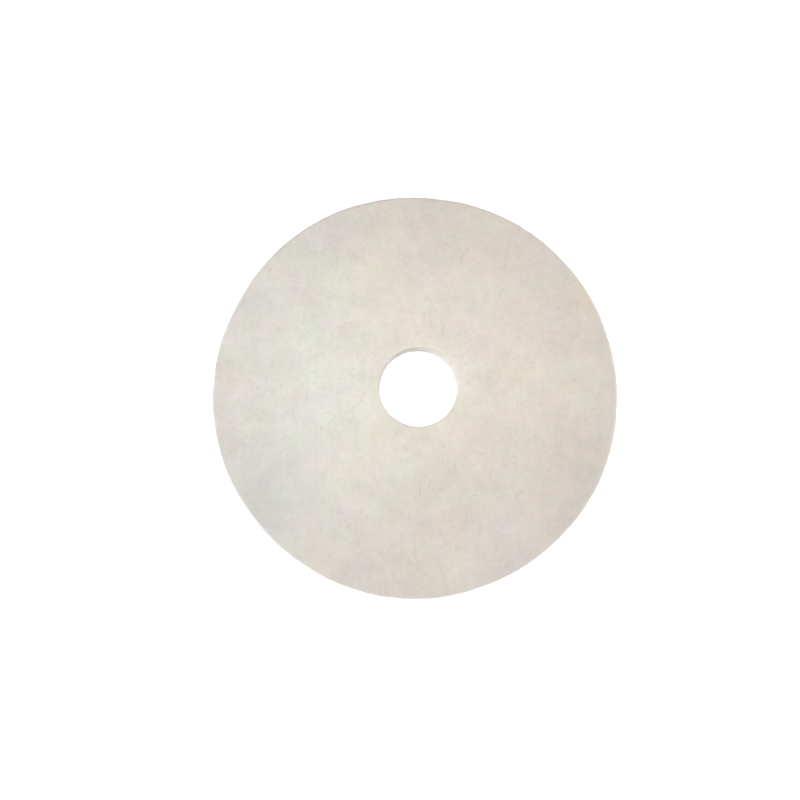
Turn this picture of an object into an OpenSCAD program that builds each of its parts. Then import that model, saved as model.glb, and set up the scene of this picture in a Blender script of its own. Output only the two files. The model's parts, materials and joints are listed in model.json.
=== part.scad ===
// Felt polishing wheel: one flat disc of pressed wool felt, die cut from sheet, with a plain round
// bore for the arbor of a lapidary machine. Millimetres. The disc lies flat with its bore along +Z,
// and the origin is on the bore's axis, at the lower face.

/* [Felt disc] */
// Outside diameter of the disc, 5 in
disc_diameter = 127; // [75:1:300]
// Thickness of the felt sheet it is cut from, 3/8 in
disc_thickness = 9.5; // [4:0.5:25]
// Rounding that the cut leaves where the outer wall meets each face
outer_edge_radius = 1; // [0.2:0.1:1.5]
// Colour of the undyed cream felt, as red, green and blue
felt_colour = [0.88, 0.86, 0.81]; // [0:0.01:1]

/* [Arbor bore] */
// Diameter of the bore, for a 1 in arbor
bore_diameter = 25.4; // [6:0.1:40]
// Rounding that the punch leaves where the bore meets each face
bore_edge_radius = 0.4; // [0.1:0.1:1]

/* [Hidden] */
disc_r = disc_diameter / 2;
bore_r = bore_diameter / 2;
// Segments in one turn of the disc, and in one turn of the small corner arcs
turn_segments = 240;
corner_segments = 48;
// How far each corner cutter reaches outside the section, for a clean cut
cutter_reach = 1;

// The waste outside a rounded corner: the corner is at the origin and the section fills the
// quarter where both coordinates are positive.
module corner_waste(r) {
    difference() {
        translate([-cutter_reach, -cutter_reach])
            square(r + cutter_reach);
        translate([r, r])
            circle(r, $fn = corner_segments);
    }
}

// Both corners of one wall, at the lower and the upper face.
module wall_corners(r) {
    corner_waste(r);
    translate([0, disc_thickness])
        mirror([0, 1])
            corner_waste(r);
}

// Half section of the disc: a rectangle from the bore's wall to the outer wall, corners rounded.
module disc_section() {
    difference() {
        translate([bore_r, 0])
            square([disc_r - bore_r, disc_thickness]);
        translate([bore_r, 0])
            wall_corners(bore_edge_radius);
        translate([disc_r, 0])
            mirror([1, 0])
                wall_corners(outer_edge_radius);
    }
}

// The whole wheel: the section turned once about the bore's axis.
module felt_disc() {
    color(felt_colour)
        rotate_extrude($fn = turn_segments)
            disc_section();
}

felt_disc();
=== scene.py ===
"""Looks of a felt polishing wheel: a flat disc of pressed wool felt with a plain arbor bore.

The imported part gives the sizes. Here its one node is replaced by a disc with the relief of matted
wool, soft cut edges and a wandering outline, and by the nap of loose fibres that lies on it.
"""

import json
import logging
import math
import random
from dataclasses import dataclass, field
from enum import Enum
from typing import Any, Iterator

import bmesh
import bpy
from mathutils import Matrix, Vector, noise


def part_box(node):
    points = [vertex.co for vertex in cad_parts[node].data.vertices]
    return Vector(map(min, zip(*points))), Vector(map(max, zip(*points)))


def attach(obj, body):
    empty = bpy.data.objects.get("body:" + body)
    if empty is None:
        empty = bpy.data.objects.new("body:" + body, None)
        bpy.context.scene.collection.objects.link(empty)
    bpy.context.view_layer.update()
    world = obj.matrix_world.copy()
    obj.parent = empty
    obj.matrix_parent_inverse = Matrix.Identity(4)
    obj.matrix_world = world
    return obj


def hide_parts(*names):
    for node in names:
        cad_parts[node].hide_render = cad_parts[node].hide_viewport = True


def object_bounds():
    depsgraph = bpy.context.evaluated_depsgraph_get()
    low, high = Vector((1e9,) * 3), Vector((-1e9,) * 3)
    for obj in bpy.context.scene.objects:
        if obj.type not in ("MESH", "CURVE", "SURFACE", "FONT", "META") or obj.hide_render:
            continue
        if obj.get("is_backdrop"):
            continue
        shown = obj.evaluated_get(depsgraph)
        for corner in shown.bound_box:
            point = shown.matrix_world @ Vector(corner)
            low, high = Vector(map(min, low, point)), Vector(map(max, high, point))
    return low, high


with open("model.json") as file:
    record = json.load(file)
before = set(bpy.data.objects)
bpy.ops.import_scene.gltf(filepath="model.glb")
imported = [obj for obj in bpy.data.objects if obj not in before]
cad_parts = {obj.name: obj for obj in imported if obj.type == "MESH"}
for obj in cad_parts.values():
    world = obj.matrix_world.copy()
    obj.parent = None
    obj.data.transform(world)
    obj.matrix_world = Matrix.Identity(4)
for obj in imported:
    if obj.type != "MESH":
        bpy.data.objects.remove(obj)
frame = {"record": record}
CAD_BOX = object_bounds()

LOG = logging.getLogger("felt_wheel")
MM = 0.001
NODE = "felt_disc"
BODY = "root"
Colour = tuple[float, float, float]
Paint = bpy.types.NodeSocket | tuple[float, float, float, float]
# Fractal noise: how fast the octaves fade, the step from one octave to the next, how many there are.
Octaves = tuple[float, float, int]
WHITE = (1.0, 1.0, 1.0)
NOISE_MEAN = 0.5


class Side(Enum):
    """The four surfaces of the disc that carry a nap."""

    FRONT = "front_face"
    BACK = "back_face"
    RIM = "outer_wall"
    BORE = "bore_wall"


# ---------------------------------------------------------------------------------------------
# Finishes
# ---------------------------------------------------------------------------------------------


class Field:
    """A number that varies over a surface; Python operators on it add Math nodes."""

    def __init__(self, tree: "FinishTree", socket: bpy.types.NodeSocket) -> None:
        """Keeps the node tree and the socket that carries the number."""
        self.tree = tree
        self.socket = socket

    def __add__(self, other: "Field | float") -> "Field":
        """This plus the other."""
        return self.tree.maths("ADD", self, other)

    def __sub__(self, other: "Field | float") -> "Field":
        """This minus the other."""
        return self.tree.maths("SUBTRACT", self, other)

    def __rsub__(self, other: float) -> "Field":
        """The other minus this."""
        return self.tree.maths("SUBTRACT", other, self)

    def __mul__(self, other: "Field | float") -> "Field":
        """This times the other."""
        return self.tree.maths("MULTIPLY", self, other)

    def __abs__(self) -> "Field":
        """This without its sign."""
        return self.tree.maths("ABSOLUTE", self)

    __radd__ = __add__
    __rmul__ = __mul__


def by_identifier(sockets: bpy.types.bpy_prop_collection, identifier: str) -> bpy.types.NodeSocket:
    """The socket of a node with that identifier."""
    return next(socket for socket in sockets if socket.identifier == identifier)


class FinishTree:
    """The node tree of one material, with short ways to add nodes to it."""

    def __init__(self, name: str) -> None:
        """Makes a material of that name with an empty tree."""
        self.material = bpy.data.materials.new(name)
        self.material.use_nodes = True
        self.tree = self.material.node_tree
        self.tree.nodes.clear()

    def node(
        self,
        kind: str,
        settings: dict[str, Any] | None = None,
        inputs: dict[str | int, Any] | None = None,
    ) -> bpy.types.Node:
        """Adds a node.

        Args:
            kind: the node's type, without its ShaderNode prefix.
            settings: the node's own properties, set first.
            inputs: values or links, by a socket's identifier or its number.

        Returns:
            The new node.
        """
        made = self.tree.nodes.new("ShaderNode" + kind)
        for key, value in (settings or {}).items():
            setattr(made, key, value)
        for key, value in (inputs or {}).items():
            wanted = made.inputs[key] if isinstance(key, int) else by_identifier(made.inputs, key)
            if isinstance(value, Field):
                value = value.socket
            if isinstance(value, bpy.types.NodeSocket):
                self.tree.links.new(value, wanted)
            else:
                wanted.default_value = value
        return made

    def maths(self, operation: str, *operands: "Field | float") -> Field:
        """Adds a Math node.

        Args:
            operation: the node's operation.
            operands: its inputs in order.

        Returns:
            Its result.
        """
        made = self.node("Math", {"operation": operation}, dict(enumerate(operands)))
        return Field(self, made.outputs[0])

    def noise(
        self,
        place: bpy.types.NodeSocket,
        per_metre: float,
        detail: float,
        crispness: float = 0.5,
        twist: float = 0.0,
        lift: float = 0.0,
    ) -> Field:
        """Smooth random value around a half.

        Args:
            place: the coordinates that it is read at.
            per_metre: how many of its waves fit in one unit of the coordinates.
            detail: octaves added to the first.
            crispness: how strong each octave is against the one before.
            twist: how far it distorts itself.
            lift: shift of the coordinates along Z, so that two noises differ.

        Returns:
            The value, mostly from 0.3 to 0.7.
        """
        if lift:
            raised = self.node("VectorMath", {"operation": "ADD"}, {0: place, 1: (0.0, 0.0, lift)})
            place = raised.outputs[0]
        made = self.node("TexNoise", {"noise_dimensions": "3D"}, {
            "Vector": place,
            "Scale": per_metre,
            "Detail": detail,
            "Roughness": crispness,
            "Distortion": twist,
        })
        return Field(self, made.outputs[0])

    def attribute(self, name: str) -> Field:
        """The value of a vertex attribute of the mesh."""
        return Field(self, self.node("Attribute", {"attribute_name": name}).outputs["Fac"])

    def blend(self, factor: "Field | float", first: Paint, second: Paint) -> bpy.types.NodeSocket:
        """Mixes two colours.

        Args:
            factor: 0 for the first, 1 for the second.
            first: a colour or a link.
            second: a colour or a link.

        Returns:
            The mixed colour's socket.
        """
        made = self.node("Mix", {"data_type": "RGBA", "clamp_factor": True},
                         {"Factor_Float": factor, "A_Color": first, "B_Color": second})
        return by_identifier(made.outputs, "Result_Color")

    def tint(self, colour: Paint, factor: "Field | float", pair: "Tint") -> bpy.types.NodeSocket:
        """Multiplies a colour by a blend of two tints.

        Args:
            colour: a colour or a link.
            factor: 0 for the pair's low tint, 1 for its high one.
            pair: the two tints.

        Returns:
            The tinted colour's socket.
        """
        picked = self.blend(factor, opaque(pair.low), opaque(pair.high))
        made = self.node("Mix", {"data_type": "RGBA", "blend_type": "MULTIPLY"},
                         {"Factor_Float": 1.0, "A_Color": colour, "B_Color": picked})
        return by_identifier(made.outputs, "Result_Color")

    def finish(self, shader: bpy.types.Node) -> bpy.types.Material:
        """Links a shader to the material's output.

        Args:
            shader: the last shader node.

        Returns:
            The finished material.
        """
        self.node("OutputMaterial", {}, {"Surface": shader.outputs[0]})
        return self.material


def opaque(colour: Colour) -> tuple[float, float, float, float]:
    """A colour with full alpha."""
    return (*colour, 1.0)


@dataclass(frozen=True)
class Tint:
    """A pair of colour factors; a field picks a blend of the two."""

    low: Colour
    high: Colour


@dataclass(frozen=True)
class LightShadePatch:
    """A soft ball of painted light and shade, centred on the front face, that moves the tone off the mean.
    """

    x: float
    y: float
    radius: float
    tone: Colour


# Broad patches of painted light and shade, some with the warm or cool cast of the lamps.
LIGHT_SHADE_PATCHES = (
    LightShadePatch(-44 * MM, 4 * MM, 44 * MM, (0.965, 1.000, 1.033)),
    LightShadePatch(-29 * MM, -5 * MM, 22 * MM, (1.010, 1.036, 1.055)),
    LightShadePatch(13 * MM, 4 * MM, 13.5 * MM, (1.058, 1.068, 1.083)),
    LightShadePatch(-20 * MM, 29 * MM, 22 * MM, (0.982, 1.016, 0.982)),
    LightShadePatch(-11 * MM, -29 * MM, 24 * MM, (0.978, 1.000, 0.980)),
    LightShadePatch(30 * MM, 22 * MM, 36 * MM, (1.006, 0.984, 0.994)),
    LightShadePatch(-56 * MM, -32 * MM, 34 * MM, (0.900, 0.915, 0.945)),
    LightShadePatch(54 * MM, -30 * MM, 28 * MM, (0.905, 0.900, 0.910)),
    LightShadePatch(2 * MM, 44 * MM, 29 * MM, (0.974, 0.966, 0.970)),
    LightShadePatch(-32 * MM, 50 * MM, 24 * MM, (0.965, 0.985, 1.030)),
    LightShadePatch(28 * MM, -52 * MM, 26 * MM, (0.965, 0.978, 1.015)),
    LightShadePatch(17 * MM, -27 * MM, 26 * MM, (0.940, 0.933, 0.940)),
    LightShadePatch(-8 * MM, -46 * MM, 28 * MM, (0.944, 0.947, 0.960)),
    LightShadePatch(-39 * MM, -44 * MM, 22 * MM, (0.950, 0.975, 1.020)),
    LightShadePatch(-27 * MM, -26 * MM, 18 * MM, (0.978, 0.990, 1.020)),
    LightShadePatch(51 * MM, 27 * MM, 18 * MM, (1.012, 0.985, 0.950)),
    LightShadePatch(-51 * MM, 28 * MM, 20 * MM, (0.980, 1.003, 1.045)),
    LightShadePatch(10 * MM, 21 * MM, 15 * MM, (0.980, 0.987, 1.018)),
    LightShadePatch(4 * MM, -31 * MM, 18 * MM, (0.958, 0.955, 0.958)),
    LightShadePatch(23 * MM, -2 * MM, 13 * MM, (0.945, 0.945, 0.948)),
    LightShadePatch(38 * MM, -22 * MM, 16 * MM, (0.968, 0.967, 0.970)),
)


@dataclass(frozen=True)
class WoolFeltFinish:
    """Matted cream wool: mottled, crossed by faint fibre strokes, with painted light and shade; greyer
    towards the rim.
    """

    name: str = "cream_wool"
    cream: Colour = (0.664, 0.627, 0.561)
    warmth: Tint = Tint((0.930, 0.985, 1.075), (1.070, 1.015, 0.925))
    olive: Tint = Tint((1.035, 0.940, 1.042), (0.965, 1.060, 0.958))
    mottle: Tint = Tint((0.835, 0.835, 0.84), (1.165, 1.165, 1.16))
    # Painted shade: darker where the relief is low, between the strokes and clumps.
    crevice_shade: Tint = Tint((0.955, 0.950, 0.940), (1.010, 1.010, 1.012))
    # Painted shade that greys the face towards the rim.
    rim_shade: Tint = Tint(WHITE, (0.900, 0.895, 0.902))
    # Painted light that brightens the bore's wall.
    bore_wall_light: Tint = Tint(WHITE, (1.09, 1.09, 1.11))
    # Painted shade in the pits of the relief.
    pit_shade: Tint = Tint(WHITE, (0.930, 0.920, 0.905))
    # Painted shade on the rounded lips of the cut edges.
    lip_shade: Tint = Tint(WHITE, (0.90, 0.90, 0.91))
    speck: Tint = Tint(WHITE, (0.62, 0.55, 0.46))
    warmth_span: float = 15 * MM
    olive_span: float = 12 * MM
    olive_lift: float = 0.3
    mottle_span: float = 10 * MM
    mottle_lift: float = 0.7
    patch_crispness: float = 0.72
    clump_span: float = 3.2 * MM
    clump_share: float = 0.45
    clump_twist: float = 0.5
    stroke_share: float = 0.55
    stroke_length: float = 3.2 * MM
    stroke_width: float = 0.40 * MM
    stroke_turns: tuple[float, ...] = (0.0, 38.0, 81.0, 122.0, 157.0)
    stroke_sharpness: float = 7.0
    stroke_twist: float = 0.9
    layer_height: float = 0.45 * MM
    layer_length: float = 5 * MM
    layer_twist: float = 0.4
    layer_weight: float = 1.4
    matted_loss: float = 0.4
    speck_spacing: float = 6 * MM
    speck_radius: float = 0.045
    speck_share: float = 0.18
    # Where the painted rim shade starts and how far it grows.
    rim_shade_from: float = 19 * MM
    rim_shade_span: float = 41 * MM
    rim_shade_evenness: float = 0.65
    # How strong the painted lip shade is at the bore and at the rim.
    bore_lip_shade: float = 4.0
    outer_lip_shade: float = 1.0
    # Level and fraying of the patches of painted light and shade.
    patch_level: float = 9.5 * MM
    patch_fray: float = 16 * MM
    fray_span: float = 9 * MM
    roughness: float = 0.98
    stroke_gloss: float = 0.12
    specular: float = 0.22
    sheen: float = 0.35
    sheen_roughness: float = 0.55
    sheen_tint: Colour = (1.0, 0.98, 0.94)
    bump_depth: float = 0.16 * MM
    bump_strength: float = 0.45

    def strokes(self, tree: FinishTree, place: bpy.types.NodeSocket) -> Field:
        """Fibre-like ridges that cross each other.

        Args:
            tree: the tree to add to.
            place: object coordinates.

        Returns:
            1 along the middle of a stroke, 0 between strokes.
        """
        across = 1 / self.stroke_width
        along = 1 / self.stroke_length
        crossed: Field | None = None
        for turn in self.stroke_turns:
            turned = tree.node("Mapping", {"vector_type": "TEXTURE"},
                               {"Vector": place, "Location": (turn * MM, turn * MM, 0),
                                "Rotation": (0.0, 0.0, math.radians(turn))})
            stretched = tree.node("VectorMath", {"operation": "MULTIPLY"},
                                  {0: turned.outputs[0], 1: (along, across, across)})
            wave = tree.noise(stretched.outputs[0], per_metre=1.0, detail=2.0, twist=self.stroke_twist)
            ridge = tree.maths("MAXIMUM", 1 - abs(wave - NOISE_MEAN) * self.stroke_sharpness, 0.0)
            crossed = ridge if crossed is None else tree.maths("MAXIMUM", crossed, ridge)
        return crossed

    def layers(self, tree: FinishTree, place: bpy.types.NodeSocket) -> Field:
        """Level streaks of the cut walls, where the knife went through the pressed layers.

        Args:
            tree: the tree to add to.
            place: object coordinates.

        Returns:
            A value around a half.
        """
        level = 1 / self.layer_length
        stretched = tree.node("VectorMath", {"operation": "MULTIPLY"},
                              {0: place, 1: (level, level, 1 / self.layer_height)})
        return tree.noise(stretched.outputs[0], per_metre=1.0, detail=4.0, twist=self.layer_twist)

    def specks(self, tree: FinishTree, place: bpy.types.NodeSocket) -> Field:
        """Rare bits of straw caught in the wool.

        Args:
            tree: the tree to add to.
            place: object coordinates.

        Returns:
            Up to 1 inside a speck, 0 elsewhere.
        """
        cells = tree.node("TexVoronoi", {"feature": "F1"},
                          {"Vector": place, "Scale": 1 / self.speck_spacing})
        near = Field(tree, cells.outputs[0])
        pick = tree.node("SeparateColor", {}, {0: cells.outputs[1]})
        chosen = tree.maths("LESS_THAN", Field(tree, pick.outputs[0]), self.speck_share)
        return tree.maths("MAXIMUM", 1 - near * (1 / self.speck_radius), 0.0) * chosen

    def reach(self, tree: FinishTree, place: bpy.types.NodeSocket) -> Field:
        """How far out on the disc a place is, from 0 near the bore to 1 at the rim."""
        level = tree.node("VectorMath", {"operation": "MULTIPLY"}, {0: place, 1: (1.0, 1.0, 0.0)})
        length = tree.node("VectorMath", {"operation": "LENGTH"}, {0: level.outputs[0]})
        share = (Field(tree, length.outputs[1]) - self.rim_shade_from) * (1 / self.rim_shade_span)
        return tree.maths("MINIMUM", tree.maths("MAXIMUM", share, 0.0), 1.0)

    def light_shade_patched(self, tree: FinishTree, place: bpy.types.NodeSocket, wool: Paint) -> Paint:
        """Lays the patches of painted light and shade on the wool's colour; noise pushes the coordinates
        to fray them.

        Args:
            tree: the tree to add to.
            place: object coordinates.
            wool: the colour's socket so far.

        Returns:
            The colour's socket with the painted light and shade.
        """
        ragged = tree.node("TexNoise", {"noise_dimensions": "3D"},
                           {"Vector": place, "Scale": 1 / self.fray_span, "Detail": 3.0})
        pushed = tree.node("VectorMath", {"operation": "MULTIPLY_ADD"},
                           {0: ragged.outputs[1], 1: (self.patch_fray,) * 3, 2: place})
        mean_push = self.patch_fray * NOISE_MEAN
        for patch in LIGHT_SHADE_PATCHES:
            middle = (patch.x + mean_push, patch.y + mean_push, self.patch_level + mean_push)
            away = tree.node("VectorMath", {"operation": "DISTANCE"}, {0: pushed.outputs[0], 1: middle})
            near = tree.maths("MAXIMUM", 1 - Field(tree, away.outputs[1]) * (1 / patch.radius), 0.0)
            wool = tree.tint(wool, near * near * (3 - near * 2), Tint(WHITE, patch.tone))
        return wool

    def mottled(self, tree: FinishTree, place: bpy.types.NodeSocket) -> Paint:
        """The cream wool with its warm, olive and light patches.

        Args:
            tree: the tree to add to.
            place: object coordinates.

        Returns:
            The mottled colour's socket.
        """
        crisp = self.patch_crispness
        warm = tree.noise(place, 1 / self.warmth_span, detail=4.0, crispness=crisp)
        olive = tree.noise(place, 1 / self.olive_span, detail=4.0, crispness=crisp, lift=self.olive_lift)
        light = tree.noise(place, 1 / self.mottle_span, detail=5.0, crispness=crisp, lift=self.mottle_lift)
        wool = tree.tint(opaque(self.cream), warm, self.warmth)
        wool = tree.tint(wool, olive, self.olive)
        return tree.tint(wool, light, self.mottle)

    def edge_light_and_shade(self, tree: FinishTree, place: bpy.types.NodeSocket, cut: Field, wool: Paint) -> Paint:
        """Paints shade that greys the face towards the rim, light on the bore's wall and shade on the
        lips.

        Args:
            tree: the tree to add to.
            place: object coordinates.
            cut: 0 on a face, 1 on a cut wall.
            wool: the colour's socket so far.

        Returns:
            The worn colour's socket.
        """
        reach = self.reach(tree, place)
        # Painted shade that greys the face towards the rim.
        rim_shading = reach * (reach * (1 - self.rim_shade_evenness) + self.rim_shade_evenness)
        wool = tree.tint(wool, rim_shading * (1 - cut), self.rim_shade)
        # Painted light on the bore's wall.
        wool = tree.tint(wool, cut * (1 - reach), self.bore_wall_light)
        # Painted shade on the rounded lips, strongest at the bore.
        lip_shading = self.bore_lip_shade - reach * (self.bore_lip_shade - self.outer_lip_shade)
        return tree.tint(wool, cut * (1 - cut) * lip_shading, self.lip_shade)

    def make(self) -> bpy.types.Material:
        """Builds the material.

        Returns:
            The finished material.
        """
        tree = FinishTree(self.name)
        place = tree.node("TexCoord").outputs["Object"]
        cut = tree.attribute("cut_wall")
        stroke = self.strokes(tree, place)
        clumps = tree.noise(place, 1 / self.clump_span, detail=3.0, twist=self.clump_twist)
        matted = clumps * self.clump_share + stroke * self.stroke_share
        layered = self.layers(tree, place) * self.layer_weight
        height = matted + cut * (layered - matted * self.matted_loss)

        wool = self.mottled(tree, place)
        # Broad patches of painted light and shade.
        wool = self.light_shade_patched(tree, place, wool)
        # Painted shade between the strokes and clumps, where the relief is low.
        wool = tree.tint(wool, height, self.crevice_shade)
        # Painted shade in the relief's pits.
        wool = tree.tint(wool, tree.attribute("pit"), self.pit_shade)
        # Painted shade towards the rim and on the lips, painted light on the bore's wall.
        wool = self.edge_light_and_shade(tree, place, cut, wool)
        wool = tree.tint(wool, self.specks(tree, place), self.speck)

        bump = tree.node("Bump", {}, {
            "Height": height,
            "Strength": self.bump_strength,
            "Distance": self.bump_depth,
        })
        shader = tree.node("BsdfPrincipled", {}, {
            "Base Color": wool,
            "Roughness": self.roughness - stroke * self.stroke_gloss,
            "Normal": bump.outputs[0],
            "Specular IOR Level": self.specular,
            "Sheen Weight": self.sheen,
            "Sheen Roughness": self.sheen_roughness,
            "Sheen Tint": opaque(self.sheen_tint),
        })
        return tree.finish(shader)


@dataclass(frozen=True)
class FibreFinish:
    """One tint of loose wool fibre, the same along its whole length."""

    name: str
    colour: Colour
    roughness: float = 0.72
    specular: float = 0.3
    sheen: float = 0.45
    sheen_roughness: float = 0.5

    def make(self) -> bpy.types.Material:
        """Builds the material.

        Returns:
            The finished material.
        """
        tree = FinishTree(self.name)
        shader = tree.node("BsdfPrincipled", {}, {
            "Base Color": opaque(self.colour),
            "Roughness": self.roughness,
            "Specular IOR Level": self.specular,
            "Sheen Weight": self.sheen,
            "Sheen Roughness": self.sheen_roughness,
        })
        return tree.finish(shader)


@dataclass(frozen=True)
class FloorFinish:
    """Plain white light table: it stays white round the disc and through its bore."""

    name: str = "white_table"
    colour: Colour = (0.22, 0.22, 0.22)
    roughness: float = 0.9
    specular: float = 0.1
    glow: float = 0.97

    def make(self) -> bpy.types.Material:
        """Builds the material.

        Returns:
            The finished material.
        """
        tree = FinishTree(self.name)
        shader = tree.node("BsdfPrincipled", {}, {
            "Base Color": opaque(self.colour),
            "Roughness": self.roughness,
            "Specular IOR Level": self.specular,
            "Emission Color": opaque(WHITE),
            "Emission Strength": self.glow,
        })
        return tree.finish(shader)


FLEECE = (
    FibreFinish("ivory_fibre", (0.755, 0.720, 0.648)),
    FibreFinish("cream_fibre", (0.690, 0.652, 0.578)),
    FibreFinish("straw_fibre", (0.52, 0.45, 0.365)),
)
# Lighter copies of the fibre tints for the bore's nap: painted light, to match the bore wall's painted
# light.
LIT_BORE_FLEECE = (
    FibreFinish("lit_bore_ivory_fibre", (0.810, 0.775, 0.708)),
    FibreFinish("lit_bore_cream_fibre", (0.745, 0.708, 0.635)),
    FibreFinish("lit_bore_straw_fibre", (0.62, 0.56, 0.475)),
)
FLEECE_SHARES = (0.48, 0.48, 0.04)


# ---------------------------------------------------------------------------------------------
# The disc
# ---------------------------------------------------------------------------------------------


def smooth(value: float) -> float:
    """A step from 0 to 1 with soft ends; the value is clamped first."""
    held = min(1.0, max(0.0, value))
    return held * held * (3 - 2 * held)


def linked_mesh(name: str, bm: bmesh.types.BMesh) -> bpy.types.Object:
    """Turns a finished bmesh into an object of the scene.

    Args:
        name: the object's name and the mesh's.
        bm: the bmesh, freed here.

    Returns:
        The object.
    """
    mesh = bpy.data.meshes.new(name)
    bm.to_mesh(mesh)
    bm.free()
    return linked(name, mesh)


def linked(name: str, data: bpy.types.ID) -> bpy.types.Object:
    """Makes an object of the scene from its data."""
    made = bpy.data.objects.new(name, data)
    bpy.context.scene.collection.objects.link(made)
    return made


def shoulder(reach: float, radius: float) -> tuple[float, float]:
    """Where a flat surface rounds over near a corner.

    Args:
        reach: distance from the corner's outermost line, along the surface.
        radius: the corner's rounding.

    Returns:
        How far the surface has fallen there, and how far its normal leans, in radians.
    """
    if reach >= radius:
        return 0.0, 0.0
    share = min(1.0, 1 - reach / radius)
    return radius * (1 - math.sqrt(1 - share * share)), math.asin(share)


def stretched_noise(at: Vector, turn: float, length: float, width: float, stir: float) -> float:
    """Noise whose waves are drawn out along one level direction.

    Args:
        at: where it is read.
        turn: the direction, in radians from +X.
        length: a wave's size along the direction.
        width: a wave's size across it.
        stir: shift through the noise, so that two directions differ.

    Returns:
        The value, around 0.
    """
    along = (at.x * math.cos(turn) + at.y * math.sin(turn)) / length
    across = (at.y * math.cos(turn) - at.x * math.sin(turn)) / width
    return noise.noise((along, across, at.z / width + stir))


@dataclass(frozen=True)
class WoolRelief:
    """Heights of the matted wool above the smooth disc, in metres."""

    sway_span: float = 32 * MM
    sway_height: float = 0.10 * MM
    clump_span: float = 5.5 * MM
    clump_height: float = 0.06 * MM
    clump_octaves: Octaves = (1.0, 2.1, 3)
    tuft_span: float = 1.7 * MM
    tuft_height: float = 0.035 * MM
    wall_tuft_height: float = 0.0525 * MM
    strand_length: float = 6 * MM
    strand_width: float = 1.1 * MM
    strand_height: float = 0.05 * MM
    strand_turns: tuple[float, ...] = (0.2, 1.0, 1.8, 2.6)
    strand_sharpness: float = 4.0
    strand_stir: float = 9.0
    layer_span: float = 9 * MM
    layer_gap: float = 1.1 * MM
    layer_height: float = 0.10 * MM
    layer_octaves: Octaves = (0.8, 2.2, 3)
    pit_length: float = 1.7 * MM
    pit_width: float = 0.85 * MM
    pit_turns: tuple[float, ...] = (0.5, 1.35, 1.75, 2.7)
    pit_stir: float = 7.0
    pit_depth: float = 0.06 * MM
    pit_level: float = 0.20
    pit_range: float = 0.75

    def strands(self, at: Vector) -> float:
        """Low ridges where bundles of fibre run, from 0 to 1."""
        length, width, stir = self.strand_length, self.strand_width, self.strand_stir
        waves = [stretched_noise(at, turn, length, width, stir * turn) for turn in self.strand_turns]
        return max(0.0, *(1 - self.strand_sharpness * abs(wave) for wave in waves))

    def pits(self, at: Vector) -> float:
        """Small oblong hollows between the tufts, 0 outside and up to 1 in the deepest."""
        length, width, stir = self.pit_length, self.pit_width, self.pit_stir
        waves = [stretched_noise(at, turn, length, width, stir * turn) for turn in self.pit_turns]
        return smooth((max(0.0, *waves) - self.pit_level) / self.pit_range)

    def face(self, at: Vector) -> float:
        """Height on the flat faces."""
        sway = self.sway_height * noise.noise(at / self.sway_span)
        clump = self.clump_height * noise.fractal(at / self.clump_span, *self.clump_octaves)
        tuft = self.tuft_height * noise.noise(at / self.tuft_span)
        ridge = self.strand_height * (self.strands(at) - 0.5)
        return sway + clump + tuft + ridge - self.pit_depth * self.pits(at)

    def wall(self, at: Vector) -> float:
        """Height on the cut walls, which show the level layers of the pressed sheet."""
        layered = Vector((at.x / self.layer_span, at.y / self.layer_span, at.z / self.layer_gap))
        layer = self.layer_height * noise.fractal(layered, *self.layer_octaves)
        return layer + self.wall_tuft_height * noise.noise(at / self.tuft_span)

    def height(self, at: Vector, cut: float) -> float:
        """Height at a place.

        Args:
            at: a place on the smooth disc.
            cut: 0 on a face, 1 on a cut wall.

        Returns:
            How far the wool stands out along the surface's normal.
        """
        if cut <= 0:
            return self.face(at)
        if cut >= 1:
            return self.wall(at)
        return self.face(at) * (1 - cut) + self.wall(at) * cut


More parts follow.
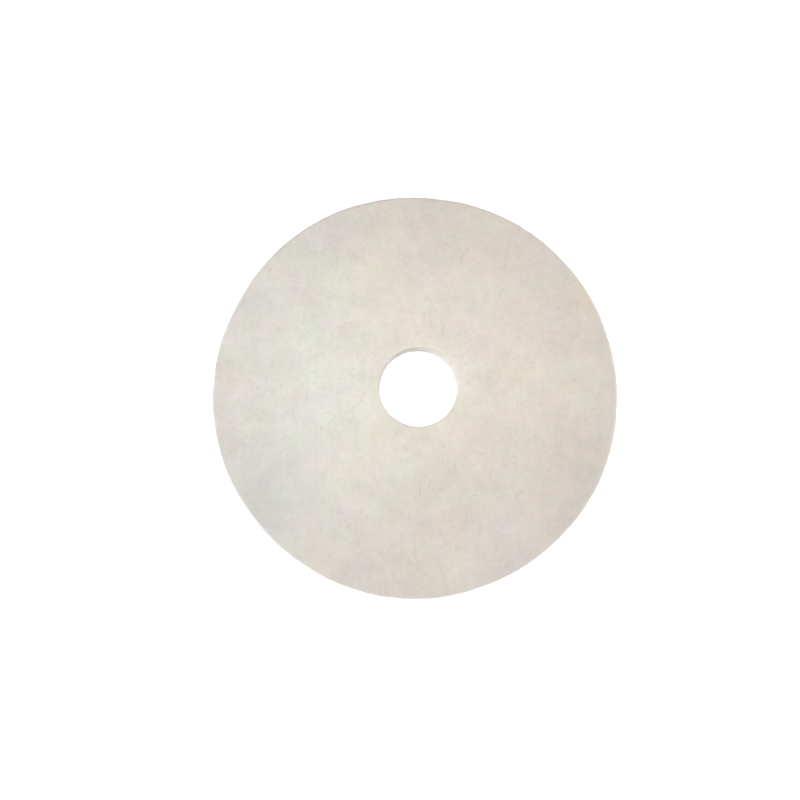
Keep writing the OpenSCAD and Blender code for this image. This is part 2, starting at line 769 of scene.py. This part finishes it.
@dataclass
class FeltDisc:
    """The pressed wool disc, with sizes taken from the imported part."""

    outer_edge: float = 1.0 * MM
    bore_edge: float = 0.4 * MM
    edge_segments: int = 5
    slice_steps: int = 30
    doublings: int = 5
    merge_gap: float = 0.002 * MM
    ring_gap: float = 0.45 * MM
    wander_lobes: int = 5
    wander_turn: float = 121.5
    wander_height: float = 0.16 * MM
    wander_fine: float = 0.22 * MM
    wander_waves: float = 3.5
    wander_level: float = 0.3
    wander_octaves: Octaves = (1.0, 2.3, 4)
    bore_wander: float = 0.14 * MM
    bore_waves: float = 1.6
    bore_level: float = 4.0
    bore_lean: float = 12 * MM
    bore_octaves: Octaves = (1.0, 2.2, 3)
    oval: float = 0.24 * MM
    settle: float = 0.10 * MM
    rim_blend: float = 7 * MM
    bore_blend: float = 3 * MM
    relief: WoolRelief = field(default_factory=WoolRelief)

    def __post_init__(self) -> None:
        """Reads the disc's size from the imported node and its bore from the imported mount."""
        low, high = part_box(NODE)
        self.radius = (high.x - low.x) / 2
        self.bottom = low.z
        self.top = high.z
        bore = next(m for m in frame["record"]["mounts"] if m["name"] == "arbor_bore")
        self.bore = bore["dims"]["r_mm"] * MM

    def outline_shift(self, at: Vector) -> float:
        """How far the cut outline wanders outwards at a place, from the knife's wobble."""
        turn = math.atan2(at.y, at.x)
        lobes = self.wander_height * math.cos(self.wander_lobes * turn + math.radians(self.wander_turn))
        edge = Vector((math.cos(turn), math.sin(turn), self.wander_level))
        rough = self.wander_fine * noise.fractal(edge * self.wander_waves, *self.wander_octaves)
        return lobes + rough - self.oval * math.sin(turn) ** 2

    def bore_shift(self, at: Vector) -> float:
        """How far the bore's wall wanders inwards at a place, from the punch."""
        turn = math.atan2(at.y, at.x)
        edge = Vector((math.cos(turn), math.sin(turn), self.bore_level + at.z / self.bore_lean))
        return self.bore_wander * noise.fractal(edge * self.bore_waves, *self.bore_octaves)

    def felted(self, at: Vector, normal: Vector, lift: float = 0.0) -> Vector:
        """Moves a place on the smooth disc to where the wool is; the bench keeps the underside flat.

        Args:
            at: a place on the smooth disc.
            normal: its outward normal.
            lift: extra height above the wool.

        Returns:
            The place on the felt.
        """
        cut = 1 - smooth(abs(normal.z))
        out = Vector((at.x, at.y, 0)).normalized()
        r = math.hypot(at.x, at.y)
        rim = smooth((r - self.radius + self.rim_blend) / self.rim_blend)
        mouth = smooth((self.bore + self.bore_blend - r) / self.bore_blend)
        moved = at + normal * (self.relief.height(at, cut) + lift)
        if rim > 0:
            moved += out * (rim * self.outline_shift(at))
        if mouth > 0:
            moved -= out * (mouth * self.bore_shift(at))
        moved.z = max(moved.z, self.bottom - self.settle)
        return moved

    def face_place(self, side: Side, x: float, y: float) -> tuple[Vector, Vector]:
        """A place and its normal on the smooth front or back face.

        Args:
            side: FRONT or BACK.
            x: across the face.
            y: along the face.

        Returns:
            The place and the outward normal there.
        """
        r = math.hypot(x, y)
        out = Vector((x / r, y / r, 0))
        fall, lean = shoulder(self.radius - r, self.outer_edge)
        if r - self.bore < self.bore_edge:
            fall, lean = shoulder(r - self.bore, self.bore_edge)
            out = -out
        facing = 1.0 if side is Side.FRONT else -1.0
        level = self.top - fall if side is Side.FRONT else self.bottom + fall
        normal = Vector((0, 0, facing)) * math.cos(lean) + out * math.sin(lean)
        return Vector((x, y, level)), normal

    def wall_place(self, side: Side, arc: float, z: float) -> tuple[Vector, Vector]:
        """A place and its normal on the smooth outer wall or bore wall.

        Args:
            side: RIM or BORE.
            arc: distance round the wall.
            z: height above the bench.

        Returns:
            The place and the outward normal there.
        """
        base, edge, sign = self.radius, self.outer_edge, 1
        if side is Side.BORE:
            base, edge, sign = self.bore, self.bore_edge, -1
        out = Vector((math.cos(arc / base), math.sin(arc / base), 0))
        upper = self.top - z
        lower = z - self.bottom
        fall, lean = shoulder(min(upper, lower), edge)
        tilt = Vector((0, 0, 1 if upper < lower else -1))
        normal = out * (sign * math.cos(lean)) + tilt * math.sin(lean)
        return out * (base - sign * fall) + Vector((0, 0, z)), normal

    def place(self, side: Side, u: float, v: float) -> tuple[Vector, Vector]:
        """A place and its normal on any side, from two distances along that side."""
        if side in (Side.FRONT, Side.BACK):
            return self.face_place(side, u, v)
        return self.wall_place(side, u, v)

    def section(self, bm: bmesh.types.BMesh) -> None:
        """Draws the disc's half section as a closed line in the XZ plane, with equal short edges.

        Args:
            bm: the empty mesh to draw in.
        """
        spots = ((self.bore, self.bottom), (self.radius, self.bottom),
                 (self.radius, self.top), (self.bore, self.top))
        bmesh.ops.contextual_create(bm, geom=[bm.verts.new((r, 0, z)) for r, z in spots])
        middle = (self.bore + self.radius) / 2
        for edge_radius, at_rim in ((self.outer_edge, True), (self.bore_edge, False)):
            corners = [v for v in bm.verts if (v.co.x > middle) == at_rim]
            bmesh.ops.bevel(bm, geom=corners, offset=edge_radius, offset_type="OFFSET",
                            segments=self.edge_segments, profile=0.5, affect="VERTICES", material=-1)
        bmesh.ops.delete(bm, geom=list(bm.faces), context="FACES_ONLY")
        for edge in list(bm.edges):
            cuts = round(edge.calc_length() / self.ring_gap) - 1
            if cuts > 0:
                bmesh.ops.subdivide_edges(bm, edges=[edge], cuts=cuts)

    def turn_section(self, bm: bmesh.types.BMesh) -> None:
        """Turns the section once round the bore: a narrow slice first, then copies that double it.

        Args:
            bm: the mesh that holds the section.
        """
        sweep = math.tau / 2 ** self.doublings
        bmesh.ops.spin(bm, geom=[*bm.verts, *bm.edges], axis=(0, 0, 1), cent=(0, 0, 0), dvec=(0, 0, 0),
                       angle=sweep, steps=self.slice_steps, use_merge=False)
        for _ in range(self.doublings):
            copied = bmesh.ops.duplicate(bm, geom=[*bm.verts, *bm.edges, *bm.faces])["geom"]
            verts = [item for item in copied if isinstance(item, bmesh.types.BMVert)]
            bmesh.ops.rotate(bm, verts=verts, cent=(0, 0, 0), matrix=Matrix.Rotation(sweep, 3, "Z"))
            sweep *= 2
        bmesh.ops.remove_doubles(bm, verts=bm.verts, dist=self.merge_gap)

    def felt_surface(self, bm: bmesh.types.BMesh) -> None:
        """Marks the cut walls and the pits on the smooth disc, then moves its vertices to the wool.

        Args:
            bm: the smooth disc.
        """
        cut = bm.verts.layers.float.new("cut_wall")
        pit = bm.verts.layers.float.new("pit")
        for vert in bm.verts:
            vert[cut] = 1 - smooth(abs(vert.normal.z))
            # The pit depth is kept for the material, which darkens it as painted shade.
            vert[pit] = self.relief.pits(vert.co) * (1 - vert[cut])
            vert.co = self.felted(vert.co.copy(), vert.normal.copy())

    def build(self) -> bpy.types.Object:
        """Turns the section round the bore, then gives the surface its wool relief.

        Returns:
            The felt disc, closed and smooth shaded.
        """
        bm = bmesh.new()
        self.section(bm)
        self.turn_section(bm)
        bmesh.ops.recalc_face_normals(bm, faces=bm.faces)
        bm.normal_update()
        self.felt_surface(bm)
        for face in bm.faces:
            face.smooth = True
        return linked_mesh("pressed_felt", bm)

    def dress(self, disc: bpy.types.Object, felt: bpy.types.Material) -> None:
        """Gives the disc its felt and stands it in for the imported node.

        Args:
            disc: the built disc.
            felt: the wool felt material.
        """
        disc.data.materials.append(felt)
        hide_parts(NODE)
        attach(disc, BODY)


# ---------------------------------------------------------------------------------------------
# The nap
# ---------------------------------------------------------------------------------------------


@dataclass
class Nap:
    """Loose wool fibres on one side of the disc: most lie along it, some stand off at one end."""

    disc: FeltDisc
    side: Side
    count: int
    seed: int
    shortest: float = 1.5 * MM
    longest: float = 6.0 * MM
    thinnest: float = 0.014 * MM
    thickest: float = 0.030 * MM
    taper: float = 0.55
    bend: float = 0.42
    wall_stray: float = 0.35
    arch: float = 0.05 * MM
    least_arch: float = 0.3
    sunk: float = 0.02 * MM
    loose_share: float = 0.08
    loose_height: float = 0.6 * MM
    points: int = 6
    outline_sides: int = 3

    def start(self, rng: random.Random) -> tuple[float, float]:
        """Picks an even random place on the side."""
        if self.side in (Side.FRONT, Side.BACK):
            inner, outer = self.disc.bore, self.disc.radius
            r = math.sqrt(rng.uniform(inner * inner, outer * outer))
            turn = rng.uniform(0, math.tau)
            return r * math.cos(turn), r * math.sin(turn)
        base = self.disc.radius if self.side is Side.RIM else self.disc.bore
        return rng.uniform(0, math.tau * base), rng.uniform(self.disc.bottom, self.disc.top)

    def inside(self, u: float, v: float) -> bool:
        """Whether a place is still on the side."""
        if self.side in (Side.FRONT, Side.BACK):
            return self.disc.bore <= math.hypot(u, v) <= self.disc.radius
        return self.disc.bottom <= v <= self.disc.top

    def heading(self, rng: random.Random) -> float:
        """Picks a fibre's first heading: any on a face, mostly level on a wall."""
        if self.side in (Side.FRONT, Side.BACK):
            return rng.uniform(0, math.tau)
        return rng.choice((0.0, math.pi)) + rng.gauss(0, self.wall_stray)

    def walk(self, rng: random.Random) -> list[Vector]:
        """Lays one fibre on the felt.

        Args:
            rng: the seeded source of every choice.

        Returns:
            The fibre's points, fewer where it runs off the side.
        """
        u, v = self.start(rng)
        heading = self.heading(rng)
        step = rng.uniform(self.shortest, self.longest) / (self.points - 1)
        loose = rng.random() < self.loose_share
        if loose:
            rise = rng.random() ** 2 * self.loose_height
        else:
            rise = rng.uniform(self.least_arch, 1.0) * self.arch
        route = []
        for index in range(self.points):
            if not self.inside(u, v):
                break
            share = index / (self.points - 1)
            bow = share * share if loose else math.sin(math.pi * share)
            at, normal = self.disc.place(self.side, u, v)
            route.append(self.disc.felted(at, normal, rise * bow - self.sunk * (1 - share)))
            heading += rng.gauss(0, self.bend)
            u += step * math.cos(heading)
            v += step * math.sin(heading)
        return route

    def routes(self) -> Iterator[tuple[list[Vector], float, int]]:
        """Every fibre's points, its half thickness and the number of its tint."""
        rng = random.Random(self.seed)
        for _ in range(self.count):
            route = self.walk(rng)
            half = rng.uniform(self.thinnest, self.thickest)
            tint = rng.choices(range(len(FLEECE)), FLEECE_SHARES)[0]
            if len(route) > 2:
                yield route, half, tint

    def fibre_outline(self) -> bpy.types.Object:
        """Draws the outline of a fibre, a small polygon of 1 mm radius.

        Returns:
            The outline, a closed curve to remove after use.
        """
        curve = bpy.data.curves.new("fibre_outline", "CURVE")
        curve.dimensions = "2D"
        spline = curve.splines.new("POLY")
        spline.points.add(self.outline_sides - 1)
        spline.use_cyclic_u = True
        for index, point in enumerate(spline.points):
            turn = math.tau * index / self.outline_sides
            point.co = (MM * math.cos(turn), MM * math.sin(turn), 0.0, 1.0)
        return linked("fibre_outline", curve)

    def draw(self, curve: bpy.types.Curve) -> None:
        """Draws every fibre as a line that thins towards its end.

        Args:
            curve: the empty curve to draw in.
        """
        for route, half, tint in self.routes():
            spline = curve.splines.new("POLY")
            spline.material_index = tint
            spline.points.add(len(route) - 1)
            for index, (point, where) in enumerate(zip(spline.points, route)):
                thinned = 1 - self.taper * index / (len(route) - 1)
                point.co = (*where, 1.0)
                point.radius = half * thinned / MM

    def build(self) -> bpy.types.Object:
        """Makes the fibres as one mesh of thin tapered tubes.

        Returns:
            The nap.
        """
        name = f"{self.side.value}_nap"
        outline = self.fibre_outline()
        curve = bpy.data.curves.new(name, "CURVE")
        curve.dimensions = "3D"
        curve.bevel_mode = "OBJECT"
        curve.bevel_object = outline
        curve.use_fill_caps = True
        self.draw(curve)
        lines = linked("nap_lines", curve)
        bpy.context.view_layer.update()
        seen = lines.evaluated_get(bpy.context.evaluated_depsgraph_get())
        mesh = bpy.data.meshes.new_from_object(seen)
        mesh.name = name
        bpy.data.objects.remove(lines)
        bpy.data.objects.remove(outline)
        return linked(name, mesh)

    def dress(self, nap: bpy.types.Object, fleece: list[bpy.types.Material]) -> None:
        """Gives the nap its tints and lets it ride with the disc.

        Args:
            nap: the built nap.
            fleece: one material for each tint.
        """
        nap.data.materials.clear()
        for tint in fleece:
            nap.data.materials.append(tint)
        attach(nap, BODY)


# ---------------------------------------------------------------------------------------------
# The studio
# ---------------------------------------------------------------------------------------------


@dataclass(frozen=True)
class SoftLamp:
    """A square soft lamp that points at a spot on the disc."""

    name: str
    place: tuple[float, float, float]
    width: float
    power: float
    tint: Colour

    def hang(self, target: Vector) -> None:
        """Puts the lamp up.

        Args:
            target: the spot that it points at.
        """
        data = bpy.data.lights.new(self.name, "AREA")
        data.shape = "SQUARE"
        data.size = self.width
        data.energy = self.power
        data.color = self.tint
        lamp = linked(self.name, data)
        lamp.location = Vector(self.place)
        lamp.rotation_mode = "QUATERNION"
        lamp.rotation_quaternion = (target - lamp.location).to_track_quat("-Z", "Y")


# A cool main lamp at the near left, a warm one low at the right and a small one above.
LAMPS = (
    SoftLamp("key_lamp", place=(-0.35, -0.19, 0.26), width=0.30, power=1.35, tint=(0.88, 0.91, 1.0)),
    SoftLamp("warm_lamp", place=(0.35, -0.04, 0.16), width=0.25, power=1.21, tint=(1.0, 0.89, 0.86)),
    SoftLamp("top_lamp", place=(-0.08, 0.02, 0.26), width=0.16, power=0.45, tint=(0.97, 1.0, 0.95)),
)


@dataclass
class Studio:
    """Pale floor, soft lamps and the camera over the disc."""

    disc: FeltDisc
    floor_width: float = 6.0
    floor_gap: float = 0.15 * MM
    camera_turn: float = -15.8
    camera_height: float = 79.5
    camera_distance: float = 192.6 * MM
    aim_x: float = 5.3 * MM
    aim_y: float = 11.9 * MM
    lens: float = 27.3
    sensor_width: float = 36.0
    shift: tuple[float, float] = (-0.0444, -0.064)
    clip_start: float = 10 * MM
    sky_low: float = 1.0
    sky_high: float = 0.06
    sky_from: float = 0.10
    sky_to: float = 0.50

    def lay_floor(self) -> None:
        """Lays the floor just under the disc."""
        bm = bmesh.new()
        bmesh.ops.create_grid(bm, x_segments=1, y_segments=1, size=self.floor_width / 2)
        bmesh.ops.translate(bm, vec=(0, 0, self.disc.bottom - self.floor_gap), verts=bm.verts)
        floor = linked_mesh("floor", bm)
        floor.data.materials.append(FloorFinish().make())
        floor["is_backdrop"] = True

    def hang_lamps(self) -> None:
        """Hangs every lamp so that it points at the middle of the front face."""
        centre = Vector((0, 0, self.disc.top))
        for lamp in LAMPS:
            lamp.hang(centre)

    def light_sky(self) -> None:
        """Lights the room: white round the horizon, dim overhead."""
        world = bpy.data.worlds.new("room")
        world.use_nodes = True
        tree = world.node_tree
        heading = tree.nodes.new("ShaderNodeTexCoord")
        parts = tree.nodes.new("ShaderNodeSeparateXYZ")
        level = tree.nodes.new("ShaderNodeMapRange")
        level.interpolation_type = "SMOOTHSTEP"
        level.inputs["From Min"].default_value = self.sky_from
        level.inputs["From Max"].default_value = self.sky_to
        level.inputs["To Min"].default_value = self.sky_low
        level.inputs["To Max"].default_value = self.sky_high
        tree.links.new(heading.outputs["Generated"], parts.inputs["Vector"])
        tree.links.new(parts.outputs["Z"], level.inputs["Value"])
        tree.links.new(level.outputs["Result"], tree.nodes["Background"].inputs["Strength"])
        tree.nodes["Background"].inputs["Color"].default_value = opaque(WHITE)
        bpy.context.scene.world = world

    def set_camera(self) -> None:
        """Stands the camera nearly over the disc, with +Y up in the view, and makes it the scene's."""
        data = bpy.data.cameras.new("camera")
        data.sensor_width = self.sensor_width
        data.lens = self.lens
        data.shift_x, data.shift_y = self.shift
        data.clip_start = self.clip_start
        turn = math.radians(self.camera_turn)
        rise = math.radians(self.camera_height)
        level = math.cos(rise)
        back = Vector((math.sin(turn) * level, -math.cos(turn) * level, math.sin(rise)))
        right = Vector((0, 1, 0)).cross(back).normalized()
        facing = Matrix((right, back.cross(right), back)).transposed()
        aim = Vector((self.aim_x, self.aim_y, self.disc.top))
        camera = linked("camera", data)
        camera.matrix_world = Matrix.Translation(aim + back * self.camera_distance) @ facing.to_4x4()
        bpy.context.scene.camera = camera

    def build(self) -> None:
        """Sets the whole studio up, with plain display colours."""
        bpy.context.scene.view_settings.view_transform = "Standard"
        self.lay_floor()
        self.hang_lamps()
        self.light_sky()
        self.set_camera()


def write_sizes() -> None:
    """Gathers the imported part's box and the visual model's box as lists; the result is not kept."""
    boxes = {"cad": CAD_BOX, "visual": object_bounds()}
    {key: [list(corner) for corner in box] for key, box in boxes.items()}


def report(piece: bpy.types.Object) -> None:
    """Logs a finished piece and how many triangles it has."""
    triangles = sum(len(face.vertices) - 2 for face in piece.data.polygons)
    LOG.info("%s: %d triangles", piece.name, triangles)


def main() -> None:
    """Builds the disc, its nap and the studio in that order."""
    logging.basicConfig(level=logging.INFO)
    disc = FeltDisc()
    pressed = disc.build()
    disc.dress(pressed, WoolFeltFinish().make())
    report(pressed)
    fleece = [tint.make() for tint in FLEECE]
    # The bore's fibres take the lighter copies, which carry painted light.
    lit_bore_fleece = [tint.make() for tint in LIT_BORE_FLEECE]
    naps = (
        Nap(disc, Side.FRONT, count=6000, seed=11),
        Nap(disc, Side.BACK, count=6000, seed=23, loose_share=0.0),
        Nap(disc, Side.RIM, count=7000, seed=37, points=5, longest=2.8 * MM,
            loose_share=0.75, loose_height=1.0 * MM),
        Nap(disc, Side.BORE, count=1900, seed=41, points=5, longest=2.5 * MM,
            loose_share=0.4, loose_height=0.5 * MM),
    )
    for nap in naps:
        fibres = nap.build()
        nap.dress(fibres, lit_bore_fleece if nap.side is Side.BORE else fleece)
        report(fibres)
    Studio(disc).build()
    write_sizes()


if __name__ == "__main__":
    main()
